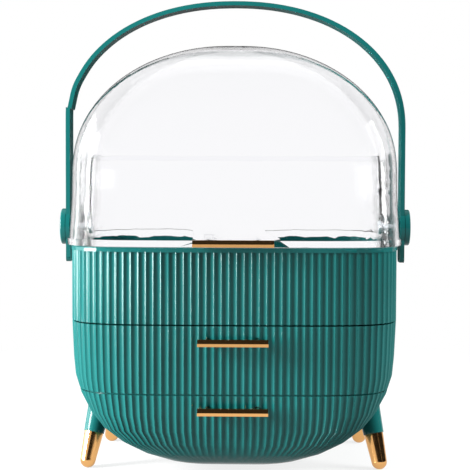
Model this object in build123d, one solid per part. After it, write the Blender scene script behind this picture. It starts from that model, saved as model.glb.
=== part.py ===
from build123d import *
import os
from math import asin, cos, hypot, pi, radians, sin, tan

# A table-top makeup organizer: an egg-shaped fluted case on four splayed legs, with two
# drawers, an open top tray under a clear hood that turns back, and an upright carrying bail.
# Millimetres, +Z up, the front faces -Y. Pieces are drawn about the case centre and moved
# once at export, so that the origin is under the middle of the whole object.

# Plan outline of the case, a superellipse
PLAN_HALF_WIDTH = 130.0
PLAN_HALF_DEPTH = 92.0
PLAN_POWER = 5.0

# Egg profile of the case below its widest level
BELLY_BOTTOM = 3.4
BELLY_WIDEST = 90.0
BELLY_INDRAW = 1.4
BELLY_POWER = 2.1
BELLY_DEPTH_POWER = 5.5
BELLY_FLAT = 0.25
FLUTE_BEND_MOST = 4.0
FLUTE_BEND_SHARE = 0.85
CASE_TOP = 119.4
WALL = 2.5
BELLY_LEVELS = 9
FLUTED_LEVELS = 8
CAP_LEVELS = 6

# Flutes
FLUTE_COUNT = 138
SMOOTH_POINTS = 68
FLUTE_RELIEF = 1.1
FLUTE_LEAST = 0.06
FLUTE_FADE_START = 34.0
FLUTE_FADE_END = 10.0

# Seams between the drawers and the case
DRAWER_SEAM = 65.1
SEAM_GAP = 1.2
FRONT_WRAP = 50.0
WRAP_GAP = 0.4

# Top tray
TRAY_FLUTE_TOP = 174.8
TRAY_RIM_TOP = 178.4
TRAY_FLOOR = 2.6
RIM_OUT = 0.5
RIM_CHAMFER = 0.8
LEDGE_WIDTH = 12.0
LEDGE_THICK = 3.6
LEDGE_BITE = 0.4
LEDGE_SCREWS = ((-118.0, -30.0), (118.0, -30.0), (-118.0, 45.0), (118.0, 45.0))

# Drawers
SHELF_THICK = 2.0
SHELF_BOTTOM = 64.2
SHELF_GAP = 0.1
SLIDE_GAP = 0.4
SIDE_GAP = 0.8
BOX_WALL = 2.0
BOX_REAR = 58.0
BOX_HEADROOM = 3.0
LOWER_BOX_LIFT = 1.6

# Clear hood and rear guard
PIVOT_HEIGHT = 190.5
CLEAR_WALL = 2.2
SKIRT_HALF_WIDTH = 132.9
SKIRT_BOTTOM = 179.0
DOME_HALF_WIDTH = 129.8
DOME_BASE = 236.5
DOME_RISE = 102.9
DOME_POWER = 2.06
SKIRT_LEVELS = 4
FLANGE_OUT = 3.5
FLANGE_TOP = 184.0
FLANGE_FRONT_END = 2.0
GUARD_INSET = 6.5
GUARD_TOP = 250.0
HOOD_REAR_EDGE = 246.0
HOOD_SIDE_ANGLE = 78.0
GUARD_SIDE_ANGLE = 84.0
EAR_RADIUS = 11.2
GUARD_FOOT_START = 14.0
GUARD_SKIRT = 5.0
DOME_ANGLES = (0, 14, 28, 41, 53, 63, 72, 79, 84.5, 87.6)

# Pivot hardware
BOLT_DIAMETER = 6.0
BOLT_HEAD_DIAMETER = 12.0
BOLT_HEAD_THICK = 2.4
PIVOT_CLEARANCE = 0.25
FACE_GAP = 0.35
SPACER_DIAMETER = 16.0
KNOB_DIAMETER = 29.6
KNOB_THICK = 4.3
KNOB_EDGE = 1.2

# Carrying bail
BAIL_HALF_WIDTH = 139.2
BAIL_THICK = 3.4
BAIL_BREADTH = 22.0
BAIL_SHOULDER = 272.0
BAIL_RISE = 103.2
BAIL_POWER = 2.15
BAIL_POINTS = 24
TAIL_CORNER = 4.0
BAIL_TAIL = 28.7
BAIL_EYE = 30.0

# Pulls
PULL_REACH = 12.0
PULL_BAR_DEPTH = 5.0
PULL_HEIGHT = 5.3
PULL_UPRIGHT = 2.3
PULL_LEAN = 2.2
DRAWER_PULL_LENGTH = 54.0
UPPER_PULL_HEIGHT = 106.6
LOWER_PULL_HEIGHT = 53.8
HOOD_PULL_LENGTH = 62.0
HOOD_PULL_HEIGHT = 182.0
HOOD_PULL_DEPTH = 7.6
POST_DIAMETER = 5.0
POST_SPACING = 38.0
SCREW_DIAMETER = 3.0
SCREW_HEAD_DIAMETER = 6.0
SCREW_HEAD_THICK = 1.8
HEAD_GAP = 0.1
HOOD_HEAD_GAP = 0.3
FIT_GAP = 0.05
DRILL_DEPTH = 16.0
PULL_SEAT = 0.1
HOOD_DRILL_END = -60.0

# Legs
LEG_TOP_DIAMETER = 15.4
LEG_TIP_DIAMETER = 12.4
LEG_TOP_HEIGHT = 27.0
SOCKET_LOW_DIAMETER = 16.2
SOCKET_TOP_DIAMETER = 19.0
SOCKET_TOP_HEIGHT = 52.0
STUD_DIAMETER = 5.0
STUD_IN_LEG = 12.0
STUD_IN_SOCKET = 4.0
TIP_FLAT = 0.3
FRONT_FOOT = (117.4, -53.0)
FRONT_SOCKET = (107.4, -38.0)
REAR_FOOT = (109.3, 55.0)
REAR_SOCKET = (99.3, 40.0)
SOCKET_REACH = 40.0

REAR_REACH = PLAN_HALF_DEPTH + FLANGE_OUT
FRONT_REACH = PLAN_HALF_DEPTH + PULL_REACH
CENTRE_SHIFT = (FRONT_REACH - REAR_REACH) / 2
SCREW_BORE = SCREW_DIAMETER / 2 + FIT_GAP
BIG = 600.0


# Outline of the case
def plan_unit(turn):
    """Point of the unit superellipse in the direction of a turn of 0 to 1."""
    across, along = cos(2 * pi * turn), sin(2 * pi * turn)
    reach = (abs(across) ** PLAN_POWER + abs(along) ** PLAN_POWER) ** (-1 / PLAN_POWER)
    return reach * across, reach * along


def even_ridges(count, samples=8000):
    """Unit plan points spaced evenly along the real outline."""
    units = [plan_unit(n / samples) for n in range(samples + 1)]
    length = [0.0]
    for (u0, v0), (u1, v1) in zip(units, units[1:]):
        step = hypot((u1 - u0) * PLAN_HALF_WIDTH, (v1 - v0) * PLAN_HALF_DEPTH)
        length.append(length[-1] + step)
    ridges, here = [], 0
    for n in range(count):
        wanted = length[-1] * n / count
        while length[here] < wanted:
            here += 1
        ridges.append(units[here])
    return ridges


RIDGES = even_ridges(FLUTE_COUNT)
SMOOTH = even_ridges(SMOOTH_POINTS)


def belly_share(z, bottom):
    """How far down the egg a level is: 0 at the widest, 1 at the bottom."""
    return min(max((BELLY_WIDEST - z) / (BELLY_WIDEST - bottom), 0.0), 1.0)


def half_width(z, inset):
    share = belly_share(z, BELLY_BOTTOM + inset)
    taper = min(max((CASE_TOP - z) / (CASE_TOP - BELLY_WIDEST), 0.0), 1.0)
    widest = PLAN_HALF_WIDTH - BELLY_INDRAW * taper - inset
    return widest * (1 - share ** BELLY_POWER) ** (1 / BELLY_POWER)


def half_depth(z, inset):
    share = belly_share(z, BELLY_BOTTOM + inset)
    return (PLAN_HALF_DEPTH - inset) * (1 - share ** BELLY_DEPTH_POWER) ** (1 / BELLY_DEPTH_POWER)


def side_reach(u, z, inset):
    """Half width at one plan share; the flutes bunch up where the egg draws in."""
    full = PLAN_HALF_WIDTH - inset
    drawn_in = 1 - half_width(z, inset) / full
    bend = max(min(FLUTE_BEND_MOST, FLUTE_BEND_SHARE / max(drawn_in, 0.01) - 1), 0.0)
    return full * u * (1 - drawn_in * abs(u) ** bend)


def case_point(unit, z, inset):
    """The case surface, offset inwards by inset, at one plan direction and level."""
    u, v = unit
    return Vector(side_reach(u, z, inset), half_depth(z, inset) * v, z)


def plain_section(z, inset):
    return Wire.make_polygon([case_point(unit, z, inset) for unit in SMOOTH], close=True)


def fluted_section(z, relief):
    points = [case_point(unit, z, 0) for unit in RIDGES]
    edges = []
    for n, here in enumerate(points):
        there = points[(n + 1) % len(points)]
        outward = (there - here).normalized().cross(Vector(0, 0, 1))
        edges.append(Edge.make_three_point_arc(here, (here + there) * 0.5 - outward * relief, there))
    return Wire(edges)


def flute_relief(z):
    faded = (z - FLUTE_FADE_END) / (FLUTE_FADE_START - FLUTE_FADE_END)
    share = min(max(faded, 0.0), 1.0)
    return FLUTE_LEAST + (FLUTE_RELIEF - FLUTE_LEAST) * share * share * (3 - 2 * share)


def egg_levels(bottom, top, count, inset):
    """Levels that follow the egg evenly by angle, from the bottom upwards."""
    low = asin(belly_share(bottom, BELLY_BOTTOM + inset))
    high = asin(belly_share(top, BELLY_BOTTOM + inset))
    depth = BELLY_WIDEST - BELLY_BOTTOM - inset
    return [BELLY_WIDEST - depth * sin(low + (high - low) * n / (count - 1)) for n in range(count)]


def plain_case(inset, top):
    """The whole case body as a plain solid, offset inwards by inset."""
    levels = egg_levels(BELLY_BOTTOM + inset + BELLY_FLAT, BELLY_WIDEST, BELLY_LEVELS, inset) + [top]
    return Solid.make_loft([plain_section(z, inset) for z in levels], ruled=True)


def fluted_case():
    """The case body with its flutes, which fade out above the bottom."""
    levels = egg_levels(FLUTE_FADE_END, BELLY_WIDEST, FLUTED_LEVELS, 0) + [CASE_TOP]
    sides = Solid.make_loft([fluted_section(z, flute_relief(z)) for z in levels], ruled=True)
    cap_levels = egg_levels(BELLY_BOTTOM + BELLY_FLAT, FLUTE_FADE_END, CAP_LEVELS, 0)
    cap = Solid.make_loft([fluted_section(z, FLUTE_LEAST) for z in cap_levels], ruled=True)
    return sides + cap


# Simple solids
def slab(x0, x1, y0, y1, z0, z1):
    return Pos((x0 + x1) / 2, (y0 + y1) / 2, (z0 + z1) / 2) * Box(x1 - x0, y1 - y0, z1 - z0)


def rod(start, end, radius, end_radius=None):
    """A round bar, or a cone, between two points."""
    start, end = Vector(*start), Vector(*end)
    plane = Plane(origin=start, z_dir=end - start)
    length = (end - start).length
    if end_radius is None:
        return Solid.make_cylinder(radius, length, plane)
    return Solid.make_cone(radius, end_radius, length, plane)


def side_profile(points):
    """A solid with a polygon outline in Y and Z, right through in X."""
    wire = Wire.make_polygon([Vector(-BIG / 2, y, z) for y, z in points], close=True)
    return extrude(Face(wire), amount=BIG, dir=(1, 0, 0))


def keep_one(shape):
    """The largest solid of a result, as a plain solid."""
    return max(shape.solids(), key=lambda solid: solid.volume)


# Case, tray and shelf
def make_casing(shell):
    rear = shell & slab(-BIG, BIG, -FRONT_WRAP, BIG, -BIG, BIG)
    ledge = plain_case(WALL - LEDGE_BITE, CASE_TOP) - plain_case(WALL + LEDGE_WIDTH, CASE_TOP + 1)
    ledge = ledge & slab(-BIG, BIG, -FRONT_WRAP, BIG, CASE_TOP - LEDGE_THICK, CASE_TOP)
    casing = keep_one(rear + ledge)
    for x, y in LEDGE_SCREWS:
        casing = casing - rod((x, y, CASE_TOP - LEDGE_THICK - 1), (x, y, CASE_TOP + 1), SCREW_BORE)
    return keep_one(casing)


def make_top_tray():
    sides = Solid.make_loft([fluted_section(z, FLUTE_RELIEF) for z in (CASE_TOP, TRAY_FLUTE_TOP)], ruled=True)
    rim_levels = ((TRAY_FLUTE_TOP, -RIM_OUT), (TRAY_RIM_TOP - RIM_CHAMFER, -RIM_OUT),
                  (TRAY_RIM_TOP, RIM_CHAMFER - RIM_OUT))
    rim = Solid.make_loft([plain_section(z, inset) for z, inset in rim_levels], ruled=True)
    hollow_levels = (CASE_TOP + TRAY_FLOOR, TRAY_RIM_TOP + 1)
    hollow = Solid.make_loft([plain_section(z, WALL) for z in hollow_levels], ruled=True)
    tray = sides + rim - hollow
    for x, y in LEDGE_SCREWS:
        hole = rod((x, y, CASE_TOP - 1), (x, y, CASE_TOP + TRAY_FLOOR + 1), SCREW_BORE)
        tray = tray - hole
    return keep_one(tray)


def make_shelf():
    level = slab(-BIG, BIG, -BIG, BIG, SHELF_BOTTOM, SHELF_BOTTOM + SHELF_THICK)
    return keep_one(plain_case(WALL + SHELF_GAP, CASE_TOP) & level)


def ledge_screw(x, y):
    head_seat = CASE_TOP + TRAY_FLOOR
    head = rod((x, y, head_seat), (x, y, head_seat + SCREW_HEAD_THICK), SCREW_HEAD_DIAMETER / 2)
    return head + rod((x, y, CASE_TOP - LEDGE_THICK), (x, y, head_seat), SCREW_DIAMETER / 2)


# Drawers
def slide_way(inset, low, high):
    """What can pass the front opening of the case: its outline there, right through in Y."""
    levels = [low + (high - low) * n / 12 for n in range(13)]
    right = []
    for z in levels:
        v = FRONT_WRAP / half_depth(z, inset)
        u = max(1 - v ** PLAN_POWER, 0.0) ** (1 / PLAN_POWER)
        right.append((side_reach(u, z, inset), z))
    outline = [Vector(x, 0, z) for x, z in right] + [Vector(-x, 0, z) for x, z in reversed(right)]
    return extrude(Face(Wire.make_polygon(outline, close=True)), amount=BIG, dir=(0, 1, 0), both=True)


def make_box(low, high):
    """The open inner box of one drawer."""
    outer_inset = WALL + SIDE_GAP
    outer = plain_case(outer_inset, high) & slide_way(outer_inset, low, high)
    outer = outer & slab(-BIG, BIG, -BIG, BOX_REAR, low, high)
    inner_inset = outer_inset + BOX_WALL
    inner = plain_case(inner_inset, high + 1) & slide_way(inner_inset, low + BOX_WALL, high + 1)
    inner = inner & slab(-BIG, BIG, -BIG, BOX_REAR - BOX_WALL, low + BOX_WALL, high + 1)
    return keep_one(outer - inner)


def pull_posts(height):
    """Post centres of one drawer pull."""
    return [(x, height) for x in (-POST_SPACING / 2, POST_SPACING / 2)]


def drill(piece, height, diameter):
    for x, z in pull_posts(height):
        piece = piece - rod((x, -FRONT_REACH, z), (x, -PLAN_HALF_DEPTH + DRILL_DEPTH, z), diameter / 2)
    return keep_one(piece)


def make_front(shell, low, high, height):
    front = shell & slab(-BIG, BIG, -BIG, -FRONT_WRAP - WRAP_GAP, low, high)
    return drill(keep_one(front), height, POST_DIAMETER + 2 * FIT_GAP)


def pull_bar(length, front, back, height):
    """A bar whose face stands upright below and leans back above."""
    low, high = height - PULL_HEIGHT / 2, height + PULL_HEIGHT / 2
    face = [(front, low), (front, low + PULL_UPRIGHT), (front + PULL_LEAN, high)]
    section = face + [(back, high), (back, low)]
    return side_profile(section) & slab(-length / 2, length / 2, front - 1, back + 1, low - 1, high + 1)


def make_drawer_pull(height):
    back = -FRONT_REACH + PULL_BAR_DEPTH
    pull = pull_bar(DRAWER_PULL_LENGTH, -FRONT_REACH, back, height)
    for x, z in pull_posts(height):
        pull = pull + rod((x, back - 1, z), (x, -PLAN_HALF_DEPTH + WALL, z), POST_DIAMETER / 2)
        pull = pull - rod((x, back - 1 - HEAD_GAP, z), (x, -PLAN_HALF_DEPTH + WALL + 1, z), SCREW_BORE)
    return keep_one(pull)


def pull_screw(x, z):
    """A screw from inside the drawer box, through the front, into a post of the pull."""
    seat = -half_depth(z - SCREW_HEAD_DIAMETER / 2, WALL + SIDE_GAP + BOX_WALL)
    head = rod((x, seat + HEAD_GAP, z), (x, seat + HEAD_GAP + SCREW_HEAD_THICK, z), SCREW_HEAD_DIAMETER / 2)
    return head + rod((x, -FRONT_REACH + PULL_BAR_DEPTH - 1, z), (x, seat + HEAD_GAP, z), SCREW_DIAMETER / 2)


# Clear hood and guard
def dome_half_width(z, inset):
    if z <= DOME_BASE:
        flare = min((DOME_BASE - z) / (DOME_BASE - SKIRT_BOTTOM), 1.0)
        return DOME_HALF_WIDTH + (SKIRT_HALF_WIDTH - DOME_HALF_WIDTH) * flare ** 2 - inset
    share = min((z - DOME_BASE) / (DOME_RISE - inset), 1.0)
    return (DOME_HALF_WIDTH - inset) * (1 - share ** DOME_POWER) ** (1 / DOME_POWER)


def dome_section(z, inset):
    across = dome_half_width(z, inset)
    narrower = PLAN_HALF_WIDTH - PLAN_HALF_DEPTH
    along = across - narrower
    if z > DOME_BASE:
        along = across * (DOME_HALF_WIDTH - narrower - inset) / (DOME_HALF_WIDTH - inset)
    points = [Vector(across * u, along * v, z) for u, v in SMOOTH]
    return Wire([Edge.make_spline(points, periodic=True)])


def dome_solid(inset, bottom):
    skirt = [bottom + (DOME_BASE - bottom) * n / SKIRT_LEVELS for n in range(SKIRT_LEVELS)]
    arch = [DOME_BASE + (DOME_RISE - inset) * sin(radians(angle)) for angle in DOME_ANGLES]
    return Solid.make_loft([dome_section(z, inset) for z in skirt + arch])


def flange(low, high, front, back):
    """A flat plate with the outline of the flange, between two planes in Y; the shell hollows it."""
    across, along = PLAN_HALF_WIDTH + FLANGE_OUT, PLAN_HALF_DEPTH + FLANGE_OUT
    outline = Edge.make_spline([Vector(across * u, along * v, low) for u, v in SMOOTH], periodic=True)
    return extrude(Face(Wire([outline])), amount=high - low) & slab(-BIG, BIG, front, back, 0, BIG)


def behind_line(angle, top):
    """The region behind a line that rises from the pivot at an angle, up to a level."""
    back = (top - PIVOT_HEIGHT) / tan(radians(angle))
    return side_profile([(0, PIVOT_HEIGHT), (back, top), (BIG, top), (BIG, 0), (0, 0)])


def ear_disc(radius):
    return rod((-BIG / 2, 0, PIVOT_HEIGHT), (BIG / 2, 0, PIVOT_HEIGHT), radius)


def clear_shell(body, inset, low, bore_gap):
    """Hollow a filled piece of the dome, with the pivot bores."""
    return body - dome_solid(inset + CLEAR_WALL, low - 1) - ear_disc(BOLT_DIAMETER / 2 + bore_gap)


def make_hood():
    filled = dome_solid(0, SKIRT_BOTTOM)
    body = (filled - behind_line(HOOD_SIDE_ANGLE, HOOD_REAR_EDGE)) + (filled & ear_disc(EAR_RADIUS))
    body = body + flange(SKIRT_BOTTOM, FLANGE_TOP, -BIG, FLANGE_FRONT_END)
    hood = clear_shell(body, 0, SKIRT_BOTTOM, PIVOT_CLEARANCE)
    for x in (-POST_SPACING / 2, POST_SPACING / 2):
        drilled = rod((x, -FRONT_REACH, HOOD_PULL_HEIGHT), (x, HOOD_DRILL_END, HOOD_PULL_HEIGHT), SCREW_BORE)
        hood = hood - drilled
    return keep_one(hood)


def make_hood_pull():
    """The pull on the flange of the hood and its two screws, which go in from inside the hood."""
    flange_face = -PLAN_HALF_DEPTH - FLANGE_OUT - PULL_SEAT
    pull = pull_bar(HOOD_PULL_LENGTH, flange_face - HOOD_PULL_DEPTH, flange_face, HOOD_PULL_HEIGHT)
    tip = flange_face - HOOD_PULL_DEPTH / 2
    head_top = HOOD_PULL_HEIGHT + SCREW_HEAD_DIAMETER / 2
    seat = PLAN_HALF_WIDTH - PLAN_HALF_DEPTH - dome_half_width(head_top, CLEAR_WALL) + HOOD_HEAD_GAP
    screws = []
    for x in (-POST_SPACING / 2, POST_SPACING / 2):
        def along(start, end, radius):
            return rod((x, start, HOOD_PULL_HEIGHT), (x, end, HOOD_PULL_HEIGHT), radius)
        pull = pull - along(tip - HEAD_GAP, seat, SCREW_BORE)
        head = along(seat, seat + SCREW_HEAD_THICK, SCREW_HEAD_DIAMETER / 2)
        screws.append(head + along(tip, seat, SCREW_DIAMETER / 2))
    return keep_one(pull), group(screws)


def make_guard():
    low = TRAY_RIM_TOP - GUARD_SKIRT
    filled = dome_solid(GUARD_INSET, low)
    body = (filled & behind_line(GUARD_SIDE_ANGLE, GUARD_TOP)) + (filled & ear_disc(EAR_RADIUS))
    body = body + flange(TRAY_RIM_TOP, FLANGE_TOP, GUARD_FOOT_START, BIG)
    return keep_one(clear_shell(body, GUARD_INSET, low, FIT_GAP))


# Pivot hardware and bail
def make_pivot(side):
    """Bolt, spacer and knob at one side."""
    head_top = PIVOT_HEIGHT + BOLT_HEAD_DIAMETER / 2
    bolt_end = BAIL_HALF_WIDTH + FACE_GAP + KNOB_THICK / 2
    inner_face = dome_half_width(head_top, GUARD_INSET + CLEAR_WALL) - HEAD_GAP
    hood_face = PLAN_HALF_WIDTH + FLANGE_OUT + FACE_GAP
    bail_face = BAIL_HALF_WIDTH - BAIL_THICK
    knob_face = BAIL_HALF_WIDTH + FACE_GAP
    def along(start, end, radius):
        return rod((side * start, 0, PIVOT_HEIGHT), (side * end, 0, PIVOT_HEIGHT), radius)
    bolt = along(inner_face - BOLT_HEAD_THICK, inner_face, BOLT_HEAD_DIAMETER / 2)
    bolt = bolt + along(inner_face - 1, bolt_end, BOLT_DIAMETER / 2)
    spacer = along(hood_face, bail_face - FACE_GAP, SPACER_DIAMETER / 2)
    spacer = spacer - along(hood_face - 1, bail_face + 1, BOLT_DIAMETER / 2 + FIT_GAP)
    knob = along(knob_face, knob_face + KNOB_THICK, KNOB_DIAMETER / 2)
    outer_edge = knob.edges().filter_by(GeomType.CIRCLE).sort_by(Axis.X)[-1 if side > 0 else 0]
    knob = fillet(outer_edge, KNOB_EDGE)
    knob = knob - along(knob_face - 1, bolt_end + HEAD_GAP, BOLT_DIAMETER / 2 + FIT_GAP)
    return keep_one(bolt), keep_one(spacer), keep_one(knob)


def bail_points(inset):
    """Points over the arch of the bail from the right shoulder to the left, offset inwards."""
    points = []
    for n in range(BAIL_POINTS + 1):
        turn = pi * n / BAIL_POINTS
        side = 1 if cos(turn) >= 0 else -1
        across = abs(cos(turn)) ** (2 / BAIL_POWER)
        up = abs(sin(turn)) ** (2 / BAIL_POWER)
        lean_out = side * across ** (BAIL_POWER - 1) / BAIL_HALF_WIDTH
        lean = Vector(lean_out, 0, up ** (BAIL_POWER - 1) / BAIL_RISE)
        on_arch = Vector(BAIL_HALF_WIDTH * side * across, 0, BAIL_SHOULDER + BAIL_RISE * up)
        points.append(on_arch - lean.normalized() * inset)
    return points


def bail_face(tail_end):
    """The bail as seen from the front, with its two tails."""
    outer, inner = bail_points(0), bail_points(BAIL_THICK)
    upright = [Vector(0, 0, 1), Vector(0, 0, -1)]
    ends = [Vector(point.X, 0, tail_end) for point in (outer[0], outer[-1], inner[-1], inner[0])]
    return Face(Wire([Edge.make_spline(outer, tangents=upright), Edge.make_line(outer[-1], ends[1]),
                      Edge.make_line(ends[1], ends[2]), Edge.make_line(ends[2], inner[-1]),
                      Edge.make_spline(inner, tangents=upright), Edge.make_line(inner[0], ends[3]),
                      Edge.make_line(ends[3], ends[0]), Edge.make_line(ends[0], outer[0])]))


def make_bail():
    tail_end = PIVOT_HEIGHT - BAIL_TAIL
    strap = extrude(bail_face(tail_end), amount=BAIL_EYE, dir=(0, 1, 0), both=True)
    half, corner = BAIL_BREADTH / 2, TAIL_CORNER
    breadth = slab(-BIG, BIG, -half, half, tail_end + corner, BIG)
    breadth = breadth + slab(-BIG, BIG, corner - half, half - corner, tail_end, tail_end + 2 * corner)
    for y in (corner - half, half - corner):
        breadth = breadth + rod((-BIG, y, tail_end + corner), (BIG, y, tail_end + corner), corner)
    bail = strap & (breadth + ear_disc(BAIL_EYE / 2))
    return keep_one(bail - ear_disc(BOLT_DIAMETER / 2 + PIVOT_CLEARANCE))


# Legs
def leg_axis(foot, socket, side):
    """Foot centre and unit direction of one leg, which leans in towards its socket."""
    start = Vector(side * foot[0], foot[1], 0)
    end = Vector(side * socket[0], socket[1], SOCKET_TOP_HEIGHT)
    return start, (end - start) * (1 / SOCKET_TOP_HEIGHT)


def make_leg(foot, socket, side, case_body):
    """Plated leg, moulded socket and the stud that joins them."""
    start, rise = leg_axis(foot, socket, side)
    tip_radius = LEG_TIP_DIAMETER / 2
    tip = start + rise * (tip_radius - TIP_FLAT)
    joint = start + rise * LEG_TOP_HEIGHT
    top = start + rise * SOCKET_TOP_HEIGHT
    leg = rod(tip, joint, tip_radius, LEG_TOP_DIAMETER / 2) + Pos(*tip) * Sphere(tip_radius)
    leg = leg & slab(-BIG, BIG, -BIG, BIG, 0, BIG)
    along = rise.normalized()
    stud_ends = joint - along * STUD_IN_LEG, joint + along * STUD_IN_SOCKET
    stud = rod(*stud_ends, STUD_DIAMETER / 2)
    bore = rod(*stud_ends, STUD_DIAMETER / 2 + FIT_GAP)
    cone = rod(joint, top, SOCKET_LOW_DIAMETER / 2, SOCKET_TOP_DIAMETER / 2)
    reach = SOCKET_REACH
    near = slab(top.X - reach, top.X + reach, top.Y - reach, top.Y + reach, 0, SOCKET_TOP_HEIGHT + reach)
    bracket = cone - (case_body & near)
    bracket = min(bracket.solids(), key=lambda solid: (solid.center() - joint).length)
    return keep_one(leg - bore), keep_one(bracket - bore), stud


def group(pieces):
    return Compound([keep_one(piece) for piece in pieces])


def build():
    case_body = fluted_case()
    shell = case_body - plain_case(WALL, CASE_TOP + 1)
    nodes = {}
    nodes["casing"] = make_casing(shell)
    nodes["top_tray"] = make_top_tray()
    nodes["middle_shelf"] = make_shelf()
    nodes["casing_screws"] = group([ledge_screw(x, y) for x, y in LEDGE_SCREWS])
    lower_top = DRAWER_SEAM - SEAM_GAP / 2
    upper_low = DRAWER_SEAM + SEAM_GAP / 2
    drawers = {
        "upper": (upper_low, CASE_TOP - SEAM_GAP, UPPER_PULL_HEIGHT, SHELF_BOTTOM + SHELF_THICK + SLIDE_GAP),
        "lower": (-BIG, lower_top, LOWER_PULL_HEIGHT, BELLY_BOTTOM + WALL + LOWER_BOX_LIFT),
    }
    box_tops = {"upper": CASE_TOP - LEDGE_THICK - BOX_HEADROOM, "lower": SHELF_BOTTOM - BOX_HEADROOM}
    for name, (low, high, height, floor) in drawers.items():
        nodes[name + "_front"] = make_front(shell, low, high, height)
        nodes[name + "_box"] = drill(make_box(floor, box_tops[name]), height, 2 * SCREW_BORE)
        nodes[name + "_pull"] = make_drawer_pull(height)
        nodes[name + "_pull_screws"] = group([pull_screw(x, z) for x, z in pull_posts(height)])
    nodes["hood"] = make_hood()
    nodes["hood_pull"], nodes["hood_pull_screws"] = make_hood_pull()
    nodes["rear_guard"] = make_guard()
    nodes["bail"] = make_bail()
    for side, name in ((-1, "left"), (1, "right")):
        bolt, spacer, knob = make_pivot(side)
        nodes["pivot_bolt_" + name] = bolt
        nodes["pivot_spacer_" + name] = spacer
        nodes["knob_" + name] = knob
        for end, foot, socket in (("front", FRONT_FOOT, FRONT_SOCKET), ("rear", REAR_FOOT, REAR_SOCKET)):
            leg, bracket, stud = make_leg(foot, socket, side, case_body)
            nodes["leg_%s_%s" % (end, name)] = leg
            nodes["leg_socket_%s_%s" % (end, name)] = bracket
            nodes["leg_stud_%s_%s" % (end, name)] = stud
    return nodes


os.makedirs("parts", exist_ok=True)
for node, shape in build().items():
    export_step(Pos(0, CENTRE_SHIFT, 0) * shape, "parts/%s.step" % node)
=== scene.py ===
import math

import bpy
from mathutils import Matrix, Vector


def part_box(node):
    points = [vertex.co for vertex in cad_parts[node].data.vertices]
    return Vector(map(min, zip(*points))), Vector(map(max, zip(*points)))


# Makeup organizer: finishes, stage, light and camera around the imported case.
# Metres, +Z up, the front faces -Y.
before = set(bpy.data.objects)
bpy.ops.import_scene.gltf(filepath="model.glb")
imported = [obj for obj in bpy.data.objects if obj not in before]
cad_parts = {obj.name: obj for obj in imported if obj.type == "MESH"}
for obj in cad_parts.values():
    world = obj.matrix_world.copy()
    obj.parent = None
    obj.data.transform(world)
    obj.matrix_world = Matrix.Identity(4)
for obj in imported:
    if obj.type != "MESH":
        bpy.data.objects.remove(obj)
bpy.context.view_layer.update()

MM = 0.001

# Camera, worked out from the bow of the seams, the feet and the spacing of the flutes
CAMERA_BACK = 1.117
CAMERA_RISE = 0.239
CAMERA_SIDE = 0.016
CAMERA_PAN = 0.825
CAMERA_TILT = 2.83
CAMERA_ROLL = 0.2
CAMERA_LENS = 103.2
CAMERA_SENSOR = 36.0
CASE_HALF_DEPTH = 92 * MM
CASE_CENTRE_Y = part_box("casing")[1][1] - CASE_HALF_DEPTH

# Edges
MOULDED_EDGE = 0.25 * MM
PLATED_EDGE = 0.5 * MM
SHARP_ANGLE = 28.0
WELD_REACH = 0.002 * MM

# Stage: the paper keeps a shadow up to the first distance and is plain white past the second
SHADOW_NEAR = 0.22
SHADOW_FAR = 0.7
PAPER_GLOW = 0.8
FLOOR_SIZE = 12.0

# Black cards, seen by reflections only: name, place, size and turn in degrees
CARDS = [("card_front", (0.45, -1.9, 0.875), (2.6, 1.45), (90, 0, 0)),
         ("card_right", (1.75, -0.5, 0.82), (2.6, 1.56), (90, 0, 90)),
         ("card_rear", (0, 1.6, 0.82), (3.0, 1.56), (90, 0, 0)),
         ("card_top", (0.3, -0.95, 1.62), (2.9, 1.9), (0, 0, 0))]

# Lamps: name, place, point aimed at, size, power in watts and whether reflections show it
MIDDLE = (0, 0, 0.18)
LAMPS = [("key_left", (-1.25, -0.5, 0.5), (0, 0, 0.5), (0.4, 1.0), 80, True),
         ("wash_left", (-1.35, 0.15, 0.55), MIDDLE, (1.2, 1.0), 20, True),
         ("fill_right", (1.25, -0.15, 0.6), MIDDLE, (0.7, 1.0), 31, False),
         ("top_soft", (0, 0.1, 1.7), MIDDLE, (1.6, 1.2), 8, False)]
ROOM_LIGHT = 0.34

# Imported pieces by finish
GREEN_NODES = ["casing", "top_tray", "middle_shelf", "upper_front", "lower_front", "upper_box", "lower_box",
               "knob_left", "knob_right", "pivot_spacer_left", "pivot_spacer_right", "bail",
               "leg_socket_front_left", "leg_socket_front_right", "leg_socket_rear_left", "leg_socket_rear_right"]
CLEAR_NODES = ["hood", "rear_guard"]
GOLD_NODES = ["hood_pull", "upper_pull", "lower_pull",
              "leg_front_left", "leg_front_right", "leg_rear_left", "leg_rear_right"]
STEEL_NODES = ["casing_screws", "hood_pull_screws", "upper_pull_screws", "lower_pull_screws",
               "pivot_bolt_left", "pivot_bolt_right", "leg_stud_front_left", "leg_stud_front_right",
               "leg_stud_rear_left", "leg_stud_rear_right"]


# Materials
def linear(hex_colour):
    """An sRGB hex colour as linear light."""
    shades = [int(hex_colour[n:n + 2], 16) / 255 for n in (1, 3, 5)]
    return [s / 12.92 if s <= 0.04045 else ((s + 0.055) / 1.055) ** 2.4 for s in shades] + [1.0]


def node(tree, kind, settings=None, links=None):
    """Adds a shader node, sets its properties and sockets, and links its inputs."""
    made = tree.nodes.new(kind)
    for name, value in (settings or {}).items():
        if hasattr(made, name):
            setattr(made, name, value)
        else:
            made.inputs[name].default_value = value
    for name, source in (links or {}).items():
        tree.links.new(source, made.inputs[name])
    return made


def new_material(name):
    material = bpy.data.materials.new(name)
    material.use_nodes = True
    tree = material.node_tree
    shader = next(n for n in tree.nodes if n.type == "BSDF_PRINCIPLED")
    output = next(n for n in tree.nodes if n.type == "OUTPUT_MATERIAL")
    return material, tree, shader, output


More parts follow.
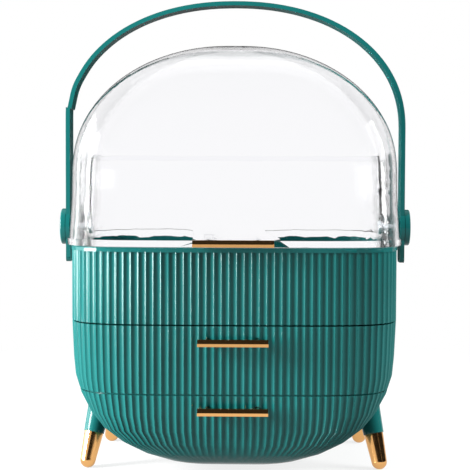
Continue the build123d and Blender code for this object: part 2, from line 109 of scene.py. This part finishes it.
def seen_directly(tree):
    """Is 1 for camera, glossy and transmission rays, and 0 for diffuse ones."""
    path = node(tree, "ShaderNodeLightPath")
    seen = path.outputs["Is Camera Ray"]
    for kind in ("Is Glossy Ray", "Is Transmission Ray"):
        either = node(tree, "ShaderNodeMath", {"operation": "MAXIMUM"})
        tree.links.new(seen, either.inputs[0])
        tree.links.new(path.outputs[kind], either.inputs[1])
        seen = either.outputs["Value"]
    return seen


def moulded_green_abs():
    """Injection moulded ABS: deep teal, satin, with a slight unevenness in tone and gloss."""
    material, tree, shader, output = new_material("moulded_green_abs")
    place = node(tree, "ShaderNodeTexCoord").outputs["Object"]
    flow = node(tree, "ShaderNodeTexNoise", {"Scale": 1 / (60 * MM), "Detail": 3.0}, {"Vector": place})
    colour = node(tree, "ShaderNodeValToRGB", links={"Fac": flow.outputs["Fac"]})
    colour.color_ramp.elements[0].position = 0.3
    colour.color_ramp.elements[0].color = linear("#105654")
    colour.color_ramp.elements[1].position = 0.7
    colour.color_ramp.elements[1].color = linear("#135C5A")
    skin = node(tree, "ShaderNodeTexNoise", {"Scale": 1 / (1.2 * MM), "Detail": 2.0}, {"Vector": place})
    rough = node(tree, "ShaderNodeMapRange", {"To Min": 0.17, "To Max": 0.20}, {"Value": flow.outputs["Fac"]})
    bump = node(tree, "ShaderNodeBump", {"Strength": 0.04, "Distance": 0.05 * MM},
                {"Height": skin.outputs["Fac"]})
    tree.links.new(colour.outputs["Color"], shader.inputs["Base Color"])
    tree.links.new(rough.outputs["Result"], shader.inputs["Roughness"])
    tree.links.new(bump.outputs["Normal"], shader.inputs["Normal"])
    shader.inputs["IOR"].default_value = 1.53
    shader.inputs["Specular IOR Level"].default_value = 0.18
    return material


def clear_polystyrene():
    """Polished clear polystyrene: a clear wall with painted shade, dark slate painted in where it is seen edge on
    for the dark outline of grazing refraction.
    """
    material, tree, shader, output = new_material("clear_polystyrene")
    place = node(tree, "ShaderNodeTexCoord").outputs["Object"]
    waves = node(tree, "ShaderNodeTexNoise", {"Scale": 1 / (45 * MM), "Detail": 1.0}, {"Vector": place})
    bump = node(tree, "ShaderNodeBump", {"Strength": 0.02, "Distance": 0.05 * MM},
                {"Height": waves.outputs["Fac"]})
    tree.links.new(bump.outputs["Normal"], shader.inputs["Normal"])
    slant = node(tree, "ShaderNodeLayerWeight", {"Blend": 0.5})
    # Painted shade: the base colour turns dark slate where the wall is seen edge on, standing in for the dark
    # outline that refraction gives a clear wall
    painted_edge_shade = node(tree, "ShaderNodeValToRGB", links={"Fac": slant.outputs["Facing"]})
    painted_edge_shade.color_ramp.elements[0].position = 0.78
    painted_edge_shade.color_ramp.elements[0].color = linear("#FCFCFD")
    painted_edge_shade.color_ramp.elements[1].position = 0.96
    painted_edge_shade.color_ramp.elements[1].color = linear("#2A3038")
    tree.links.new(painted_edge_shade.outputs["Color"], shader.inputs["Base Color"])
    shader.inputs["Roughness"].default_value = 0.02
    shader.inputs["IOR"].default_value = 1.49
    shader.inputs["Specular Tint"].default_value = linear("#303234")
    shader.inputs["Transmission Weight"].default_value = 1.0
    path = node(tree, "ShaderNodeLightPath")
    passed = node(tree, "ShaderNodeBsdfTransparent", {"Color": linear("#EEF0F1")})
    mix = node(tree, "ShaderNodeMixShader", links={"Fac": path.outputs["Is Shadow Ray"]})
    tree.links.new(shader.outputs["BSDF"], mix.inputs[1])
    tree.links.new(passed.outputs["BSDF"], mix.inputs[2])
    tree.links.new(mix.outputs["Shader"], output.inputs["Surface"])
    return material


def gold_plating():
    """Bright gold plating over polished metal, with the slight haze of handling."""
    material, tree, shader, output = new_material("gold_plating")
    place = node(tree, "ShaderNodeTexCoord").outputs["Object"]
    haze = node(tree, "ShaderNodeTexNoise", {"Scale": 1 / (8 * MM), "Detail": 4.0}, {"Vector": place})
    rough = node(tree, "ShaderNodeMapRange", {"To Min": 0.10, "To Max": 0.18}, {"Value": haze.outputs["Fac"]})
    tree.links.new(rough.outputs["Result"], shader.inputs["Roughness"])
    shader.inputs["Base Color"].default_value = linear("#DEA86A")
    shader.inputs["Metallic"].default_value = 1.0
    return material


def zinc_plated_steel():
    """Zinc plated steel: pale grey with a fine drawn grain."""
    material, tree, shader, output = new_material("zinc_plated_steel")
    place = node(tree, "ShaderNodeTexCoord").outputs["Object"]
    grain = node(tree, "ShaderNodeTexNoise", {"Scale": 1 / (0.8 * MM), "Detail": 2.0}, {"Vector": place})
    rough = node(tree, "ShaderNodeMapRange", {"To Min": 0.25, "To Max": 0.4}, {"Value": grain.outputs["Fac"]})
    tree.links.new(rough.outputs["Result"], shader.inputs["Roughness"])
    shader.inputs["Base Color"].default_value = linear("#C4C6C8")
    shader.inputs["Metallic"].default_value = 1.0
    return material


def white_stage():
    """Matt white paper, which goes to plain white away from the object, as a lit studio sweep does."""
    material, tree, shader, output = new_material("white_stage")
    tree.nodes.remove(shader)
    place = node(tree, "ShaderNodeTexCoord").outputs["Object"]
    away = node(tree, "ShaderNodeVectorMath", {"operation": "LENGTH"}, {0: place})
    fade = node(tree, "ShaderNodeMapRange", {"From Min": SHADOW_NEAR, "From Max": SHADOW_FAR,
                                             "To Min": PAPER_GLOW, "To Max": 1.0}, {"Value": away.outputs["Value"]})
    share = node(tree, "ShaderNodeMath", {"operation": "MULTIPLY"})
    tree.links.new(seen_directly(tree), share.inputs[0])
    tree.links.new(fade.outputs["Result"], share.inputs[1])
    paper = node(tree, "ShaderNodeBsdfDiffuse", {"Color": linear("#FAFAFA")})
    glow = node(tree, "ShaderNodeEmission", {"Color": linear("#FFFFFF"), "Strength": 1.0})
    mix = node(tree, "ShaderNodeMixShader", links={"Fac": share.outputs["Value"]})
    tree.links.new(paper.outputs["BSDF"], mix.inputs[1])
    tree.links.new(glow.outputs["Emission"], mix.inputs[2])
    tree.links.new(mix.outputs["Shader"], output.inputs["Surface"])
    return material


def black_felt():
    """Dull black felt of the cards that give metal and gloss their dark bands."""
    material, tree, shader, output = new_material("black_felt")
    place = node(tree, "ShaderNodeTexCoord").outputs["Object"]
    felt = node(tree, "ShaderNodeTexNoise", {"Scale": 1 / (3 * MM), "Detail": 2.0}, {"Vector": place})
    colour = node(tree, "ShaderNodeValToRGB", links={"Fac": felt.outputs["Fac"]})
    colour.color_ramp.elements[0].color = linear("#0C0B0A")
    colour.color_ramp.elements[1].color = linear("#191715")
    tree.links.new(colour.outputs["Color"], shader.inputs["Base Color"])
    shader.inputs["Roughness"].default_value = 1.0
    return material


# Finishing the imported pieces
def finish_piece(name, material, edge, segments=2):
    """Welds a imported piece, rounds its sharp edges a little and gives it its material."""
    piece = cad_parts[name]
    piece.data.materials.clear()
    piece.data.materials.append(material)
    weld = piece.modifiers.new("weld", "WELD")
    weld.merge_threshold = WELD_REACH
    if edge:
        bevel = piece.modifiers.new("edge", "BEVEL")
        bevel.width = edge
        bevel.segments = segments
        bevel.limit_method = "ANGLE"
        bevel.angle_limit = math.radians(SHARP_ANGLE)
        bevel.harden_normals = False
        bevel.use_clamp_overlap = True


def dress_pieces():
    green, clear, gold, steel = moulded_green_abs(), clear_polystyrene(), gold_plating(), zinc_plated_steel()
    for name in GREEN_NODES:
        finish_piece(name, green, 0)
    for name in CLEAR_NODES:
        finish_piece(name, clear, 0)
    for name in GOLD_NODES:
        finish_piece(name, gold, PLATED_EDGE, 3)
    for name in STEEL_NODES:
        finish_piece(name, steel, 0)


# Stage, light and camera
def make_stage():
    bpy.ops.object.select_all(action="DESELECT")
    bpy.ops.mesh.primitive_plane_add(size=FLOOR_SIZE, location=(0, 0, 0))
    floor = bpy.context.object
    floor.name = "floor"
    floor.data.materials.append(white_stage())
    floor.visible_diffuse = False
    felt = black_felt()
    for name, place, size, turn in CARDS:
        bpy.ops.mesh.primitive_plane_add(size=1.0, location=place)
        card = bpy.context.object
        card.name = name
        card.scale = (size[0], size[1], 1)
        card.rotation_euler = [math.radians(angle) for angle in turn]
        bpy.ops.object.transform_apply(location=True, rotation=True, scale=True)
        card.data.materials.append(felt)
        card.visible_camera = card.visible_diffuse = card.visible_transmission = card.visible_shadow = False


def softbox(name, place, aim, size, power, in_gloss):
    bpy.ops.object.light_add(type="AREA", location=place)
    lamp = bpy.context.object
    lamp.name = name
    lamp.data.shape = "RECTANGLE"
    lamp.data.size, lamp.data.size_y = size
    lamp.data.energy = power
    lamp.rotation_euler = (Vector(aim) - Vector(place)).to_track_quat("-Z", "Y").to_euler()
    lamp.visible_glossy = in_gloss


def light_scene():
    for lamp in LAMPS:
        softbox(*lamp)
    world = bpy.data.worlds.new("studio")
    bpy.context.scene.world = world
    world.use_nodes = True
    tree = world.node_tree
    sky = next(n for n in tree.nodes if n.type == "BACKGROUND")
    sky.inputs["Color"].default_value = linear("#FFFFFF")
    level = node(tree, "ShaderNodeMapRange", {"To Min": ROOM_LIGHT, "To Max": 1.0}, {"Value": seen_directly(tree)})
    tree.links.new(level.outputs["Result"], sky.inputs["Strength"])


def place_camera():
    camera = bpy.data.cameras.new("camera")
    camera.lens = CAMERA_LENS
    camera.sensor_width = CAMERA_SENSOR
    camera.clip_start = 0.05
    holder = bpy.data.objects.new("camera", camera)
    bpy.context.collection.objects.link(holder)
    turn = (Matrix.Rotation(math.radians(CAMERA_PAN), 4, "Z")
            @ Matrix.Rotation(math.radians(90 - CAMERA_TILT), 4, "X")
            @ Matrix.Rotation(math.radians(CAMERA_ROLL), 4, "Z"))
    place = Matrix.Translation((CAMERA_SIDE, CASE_CENTRE_Y - CAMERA_BACK, CAMERA_RISE))
    holder.matrix_world = place @ turn
    bpy.context.scene.camera = holder


dress_pieces()
make_stage()
light_scene()
place_camera()
bpy.context.scene.view_settings.view_transform = "Standard"
bpy.context.scene.cycles.caustics_reflective = False
bpy.context.scene.cycles.caustics_refractive = False
